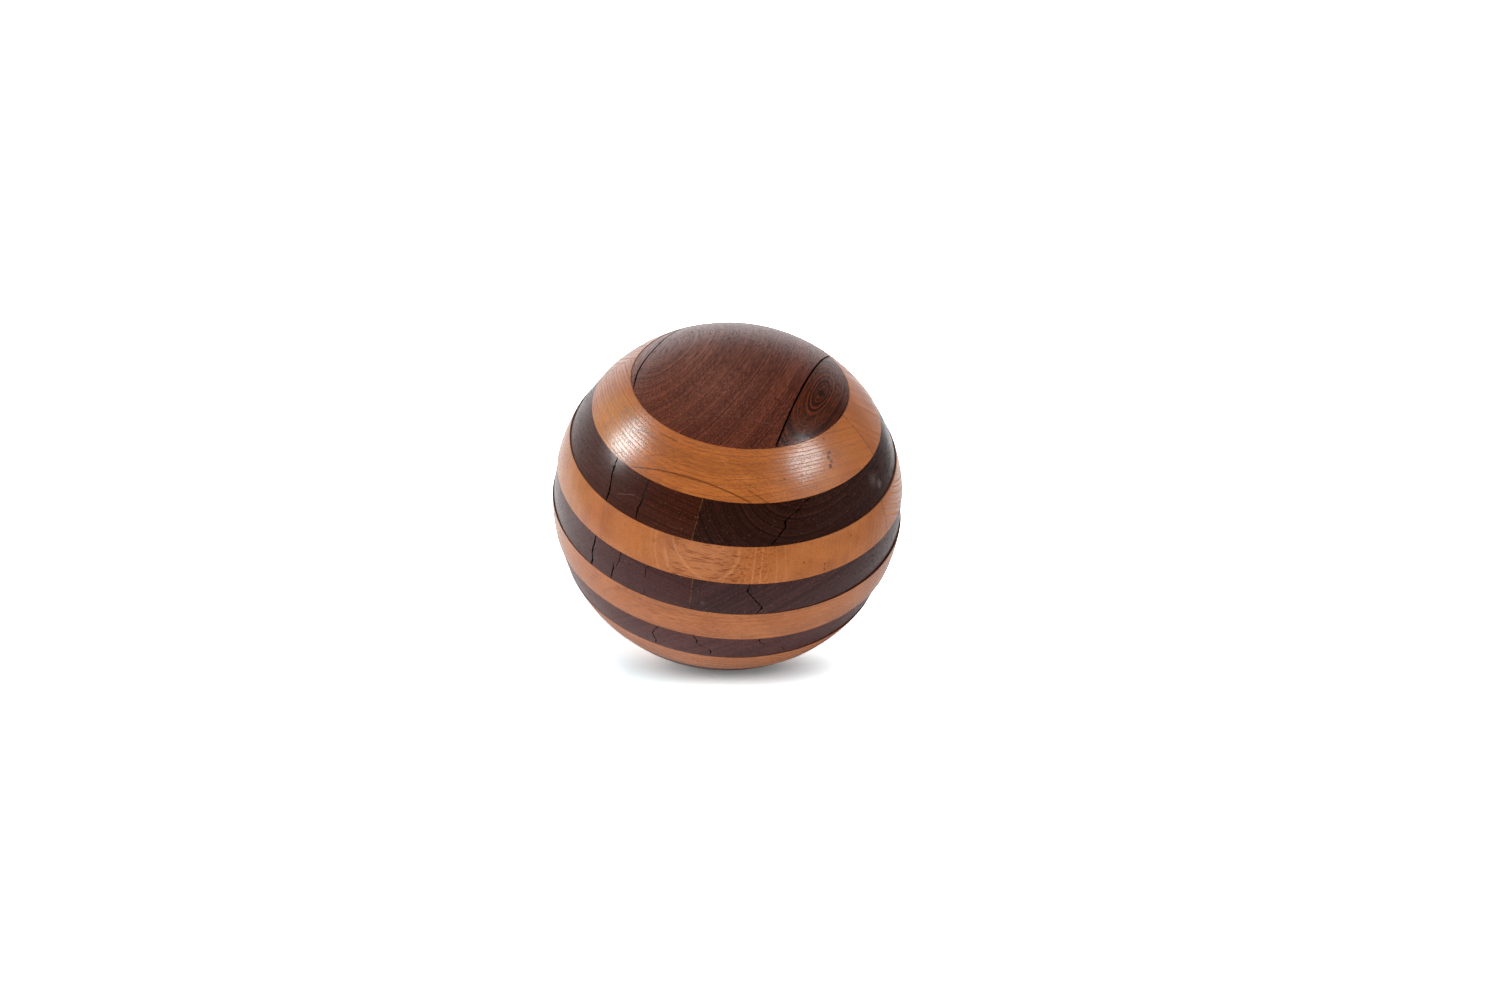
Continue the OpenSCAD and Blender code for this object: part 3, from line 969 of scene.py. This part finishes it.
def wood(name, facts, dark):
    """One board's material: its figure, glue lines, marks and painted recess shade, under its
    polish.
    """
    gloss = DARK_GLOSS if dark else LIGHT_GLOSS
    material, tree = new_material(name + "_wood")
    across, up = facts["heart"]
    heart = Vector((across, 0, up) if dark else (0, across, up)) * radius
    heart.rotate(Matrix.Rotation(-GRAIN_TURN, 3, "Z"))
    log_turn = -GRAIN_TURN + math.radians(facts.get("turn", 0) + (0 if dark else 90))
    log = mapping(tree, heart, (0, 0, log_turn), (1, 1, 1))
    shrink = 1 - DARK_WIDTH_LOSS if dark else 1
    place = mapping(tree, (0, 0, 0), (0, 0, -GRAIN_TURN),
                    (radius * shrink, radius, radius * (1 - HEIGHT_LOSS)))
    colour, pores = (dark_figure if dark else light_figure)(tree, log, facts)
    for at in facts["ends"]:
        if at is not None and layer_of(name) != 1:
            colour = add_glue_line(tree, place, colour, at, dark)
    for mark in MARKS.get(name, []):
        colour, pores = add_mark(tree, place, colour, pores, mark)
    # Painted shade below the turned surface, which also dulls the polish there
    recess_shade = use(tree, SKIN, Place=place)["Mask"]
    colour = blend(tree, recess_shade, colour, DARK_RECESS_SHADE if dark else LIGHT_RECESS_SHADE)
    dull = maths(tree, "MULTIPLY", pores, gloss["open_grain"])
    dull = maths(tree, "MAXIMUM", dull, recess_shade)
    bsdf = tree.nodes.new("ShaderNodeBsdfPrincipled")
    feed(tree, bsdf.inputs["Base Color"], colour)
    feed(tree, bsdf.inputs["Roughness"], rise(tree, dull, 0, 1, *gloss["rough"]))
    feed(tree, bsdf.inputs["Coat Weight"], rise(tree, dull, 0, 1, *gloss["coat"]))
    bsdf.inputs["Specular IOR Level"].default_value = gloss["specular"]
    bsdf.inputs["Specular Tint"].default_value = gloss["tint"]
    bsdf.inputs["Coat Roughness"].default_value = POLISH_ROUGH
    bsdf.inputs["Coat IOR"].default_value = POLISH_IOR
    bump = tree.nodes.new("ShaderNodeBump")
    bump.inputs["Strength"].default_value = GRAIN_BUMP
    bump.inputs["Distance"].default_value = GRAIN_DEPTH * facts.get("relief", 1)
    feed(tree, bump.inputs["Height"], maths(tree, "SUBTRACT", 1, pores))
    feed(tree, bsdf.inputs["Normal"], bump.outputs["Normal"])
    output = tree.nodes.new("ShaderNodeOutputMaterial")
    feed(tree, output.inputs["Surface"], bsdf.outputs["BSDF"])
    return material


# ---- Studio ----

LENS = 41.0
SENSOR = 36.0
CAMERA_UP = math.radians(38.4)
CAMERA_ROLL = math.radians(6.33)
# The camera's distance, as a multiple of the ball's radius
CAMERA_AWAY = 9.8
# Where the ball's centre lies in the frame, as shares of its width from the frame's middle
BALL_ACROSS = -0.01467
BALL_UP = 0.00253

# The floor: its radius and colour, and its brightness seen straight, from near the ball out to
# the rim
FLOOR_RADIUS = 0.55
FLOOR_TONE = 0.95
FLOOR_SEEN = 3.8
FLOOR_RIM_SEEN = 1.6 * FLOOR_SEEN
FLOOR_NEAR = 0.15
# The painted shadow under the ball, seen straight, over its real shadow: the turn, flattening and
# middle of its oval, how far its core and its edge reach, its tone, and its tints at the left and
# right ends. The tints change from one to the other over TINT_ACROSS, and die out from the ball
# over TINT_REACH.
SHADE_TURN = math.radians(9.95)
SHADE_FLATTENED = (0.288, 1, 0)
SHADE_MIDDLE = (0.0028, -0.045, 0)
SHADE_CORE = 0.0043
SHADE_EDGE = 0.0306
SHADE_TONE = 0.42
LEFT_TINT = (0.82, 1.0, 1.06)
RIGHT_TINT = (0.915, 1.0, 1.03)
TINT_ACROSS = (-0.06, 0.07)
TINT_REACH = (0.09, 0.15)
# The floor as the polish mirrors it, a painted reflection: the way in which it is painted
# brighter, its tones along that way from half a metre on one side to half on the other, and the
# middle, reach and tone of the painted shade at the ball's foot
FLOOR_BRIGHTER = (-0.5, 0.8, 0)
FLOOR_TONES = ((0.25, 0.4), (0.375, 0.7), (0.5, 0.9), (0.6, 1.3), (0.67, 1.85), (0.76, 1.6),
               (0.86, 1.25))
FOOT_SHADE = (0.05, -0.03, 0)
FOOT_REACH = (0.03, 0.13)
FOOT_TONE = 0.3

# The world: the way in which it gets brighter, its tones along that way and up from the
# horizon, its strength and tint, and the plain white that is seen straight
WORLD_BRIGHTER = (-0.11, 0.4, 0)
ROUND_TONES = ((0.0, 0.05), (0.3, 0.07), (0.5, 0.10), (0.69, 0.14), (0.8, 0.45), (0.9, 1.0))
HEIGHT_TONES = ((0.5, 1.0), (0.6, 0.85), (0.7, 0.42), (0.82, 0.28), (1.0, 0.2))
WORLD_LIGHT = 1.22
WORLD_TINT = (1.06, 1.0, 1.01)
WHITE = 1.3

# The lamps: direction from the ball, distance, width and height in metres, and power in watts.
# A fill makes no glints. A softbox makes only glints, and only on the boards named after it.
LAMPS = {
    "overhead": ((-0.15, 0.18, 1.0), 1.5, 1.3, 1.3, 12.5),
    "front_fill": ((-0.3, -1.0, 0.0), 1.8, 1.6, 0.8, 25),
    "left_fill": ((-0.95, -0.1, 0.15), 1.8, 1.4, 1.0, 17),
    "right_fill": ((0.95, -0.15, 0.3), 1.8, 1.4, 1.0, 23),
    "left_softbox": ((-0.895, 0.038, 0.45), 1.442, 0.42, 0.52, 11.3,
                     ("layer_2_light_front", "layer_3_dark_left")),
    "right_softbox": ((0.6890, -0.1740, 0.7040), 1.5565, 0.58, 0.42, 9.4,
                      ("layer_2_light_front", "layer_1_dark_right")),
}


def make_camera():
    """The camera, in front of the ball and above it, and rolled a little."""
    data = bpy.data.cameras.new("camera")
    data.lens = LENS
    data.sensor_width = SENSOR
    camera = add_object("camera", data)
    bpy.context.scene.camera = camera
    place = Vector((0, -math.cos(CAMERA_UP), math.sin(CAMERA_UP)))
    place = place * CAMERA_AWAY * (radius + HAIR)
    ahead = -place.normalized()
    level = ahead.cross(Vector((0, 0, 1))).normalized()
    upright = level.cross(ahead)
    across = level * math.cos(CAMERA_ROLL) + upright * math.sin(CAMERA_ROLL)
    up = upright * math.cos(CAMERA_ROLL) - level * math.sin(CAMERA_ROLL)
    # Aim past the ball, so that its centre comes to its place in the frame
    aim = SENSOR / LENS
    ahead = (ahead - across * BALL_ACROSS * aim - up * BALL_UP * aim).normalized()
    across = (across - ahead * across.dot(ahead)).normalized()
    up = across.cross(ahead)
    turn = Matrix((across, up, -ahead)).transposed().to_4x4()
    camera.matrix_world = Matrix.Translation(place) @ turn


def make_lamp(name, direction, away, width, height, power, glints_on=()):
    """A lamp that faces the ball: a fill, or a softbox for the glints on some boards."""
    data = bpy.data.lights.new(name, "AREA")
    data.shape = "RECTANGLE"
    data.size = width
    data.size_y = height
    data.energy = power
    lamp = add_object(name, data)
    lamp.location = Vector(direction).normalized() * away
    lamp.rotation_euler = Vector(direction).to_track_quat("Z", "Y").to_euler()
    lamp.visible_diffuse = not glints_on
    lamp.visible_glossy = bool(glints_on)
    if glints_on:
        lit = bpy.data.collections.new(name + "_boards")
        for board in glints_on:
            lit.objects.link(bpy.data.objects[board + "_board"])
        lamp.light_linking.receiver_collection = lit


def make_floor():
    """A pale floor: seen straight it clips to white, keeping a real and a painted shadow."""
    bm = bmesh.new()
    bmesh.ops.create_circle(bm, cap_ends=True, segments=96, radius=FLOOR_RADIUS,
                            matrix=Matrix.Translation((0, 0, -half_height)))
    floor = add_object("floor", mesh_of("floor", bm))
    material, tree = new_material("floor")
    rays = tree.nodes.new("ShaderNodeLightPath")
    coordinates = tree.nodes.new("ShaderNodeTexCoord").outputs["Object"]
    # The polish mirrors a floor that is painted brighter behind the ball and to its left,
    # and painted darker at the ball's foot
    bright = vectors(tree, "DOT_PRODUCT", coordinates, FLOOR_BRIGHTER)
    painted_reflection = tone_ramp(tree, maths(tree, "ADD", bright, 0.5), FLOOR_TONES)
    flat = vectors(tree, "MULTIPLY", coordinates, (1, 1, 0))
    foot = rise(tree, vectors(tree, "DISTANCE", flat, FOOT_SHADE), *FOOT_REACH, FOOT_TONE, 1.0)
    painted_reflection = blend(tree, 1.0, painted_reflection, foot, "MULTIPLY")
    # The painted shadow seen straight is an oval that lies level in the frame
    turned = mapping(tree, (0, 0, 0), (0, 0, SHADE_TURN), (1, 1, 1))
    oval = vectors(tree, "MULTIPLY", turned, SHADE_FLATTENED)
    off_middle = vectors(tree, "DISTANCE", oval, SHADE_MIDDLE)
    away = vectors(tree, "LENGTH", flat)
    lit = rise(tree, away, FLOOR_NEAR, FLOOR_RADIUS, FLOOR_SEEN, FLOOR_RIM_SEEN)
    shade = rise(tree, off_middle, SHADE_CORE, SHADE_EDGE, SHADE_TONE, lit)
    # The light that the ball throws on the floor is warm, so the painted shadow's tint is cool
    along = vectors(tree, "DOT_PRODUCT", turned, (1, 0, 0))
    tint = blend(tree, rise(tree, along, *TINT_ACROSS), LEFT_TINT, RIGHT_TINT)
    tint = blend(tree, rise(tree, away, *TINT_REACH), tint, (1.0, 1.0, 1.0))
    seen = blend(tree, 1.0, tint, shade, "MULTIPLY")
    colour = blend(tree, rays.outputs["Is Glossy Ray"], (FLOOR_TONE,) * 3, painted_reflection)
    colour = blend(tree, rays.outputs["Is Camera Ray"], colour, seen)
    diffuse = tree.nodes.new("ShaderNodeBsdfDiffuse")
    feed(tree, diffuse.inputs["Color"], colour)
    output = tree.nodes.new("ShaderNodeOutputMaterial")
    feed(tree, output.inputs["Surface"], diffuse.outputs["BSDF"])
    floor.data.materials.append(material)


def make_world():
    """A pale studio: bright low down behind the ball and to its left, dim above and in front."""
    world = bpy.data.worlds.new("studio")
    bpy.context.scene.world = world
    world.use_nodes = True
    tree = world.node_tree
    tree.nodes.clear()
    rays = tree.nodes.new("ShaderNodeLightPath")
    way = tree.nodes.new("ShaderNodeTexCoord").outputs["Generated"]
    bright = maths(tree, "ADD", vectors(tree, "DOT_PRODUCT", way, WORLD_BRIGHTER), 0.5)
    height = maths(tree, "MULTIPLY_ADD", parts_of(tree, way)["Z"], 0.5, 0.5)
    tone = maths(tree, "MULTIPLY", tone_ramp(tree, bright, ROUND_TONES),
                 tone_ramp(tree, height, HEIGHT_TONES))
    tone = maths(tree, "MULTIPLY", tone, WORLD_LIGHT)
    strength = blend(tree, 1.0, tone, WORLD_TINT, "MULTIPLY")
    strength = blend(tree, rays.outputs["Is Camera Ray"], strength, (WHITE,) * 3)
    background = tree.nodes.new("ShaderNodeBackground")
    feed(tree, background.inputs["Color"], strength)
    output = tree.nodes.new("ShaderNodeOutputWorld")
    feed(tree, output.inputs["Surface"], background.outputs["Background"])


def make_studio():
    """The floor, the world and the lamps."""
    make_floor()
    make_world()
    for lamp, values in LAMPS.items():
        make_lamp(lamp, *values)
    bpy.context.scene.view_settings.view_transform = "Standard"


make_camera()
for is_dark, boards in ((True, DARK_BOARDS), (False, LIGHT_BOARDS)):
    for board_name, board_facts in boards.items():
        make_board(board_name, board_facts, is_dark, wood(board_name, board_facts, is_dark))
make_studio()
